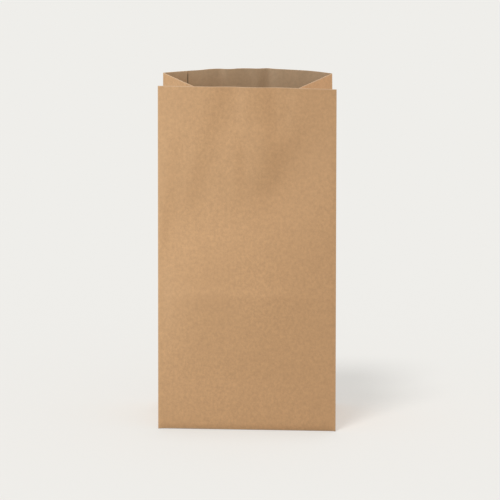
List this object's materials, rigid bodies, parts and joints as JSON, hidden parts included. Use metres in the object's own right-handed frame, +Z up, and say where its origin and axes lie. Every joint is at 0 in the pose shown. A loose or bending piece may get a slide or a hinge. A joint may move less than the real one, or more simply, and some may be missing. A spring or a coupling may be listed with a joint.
{
  "type": "paper lunch bag",
  "caption": "Upright brown kraft paper lunch bag, open at the top, with folded-in side gussets, a flat base and a glued back seam.",
  "frame": {"origin": "middle of the base, on the surface that the bag stands on", "axes": "+Z up towards the mouth, -Y out of the front panel, +X to the right of someone who faces the front panel"},
  "size_m": [0.1302, 0.0848, 0.2476],
  "materials": {
    "kraft_paper": "matt, uncoated"
  },
  "bodies": {
    "root": {"paper_bag": "kraft_paper"}
  },
  "joints": []
}
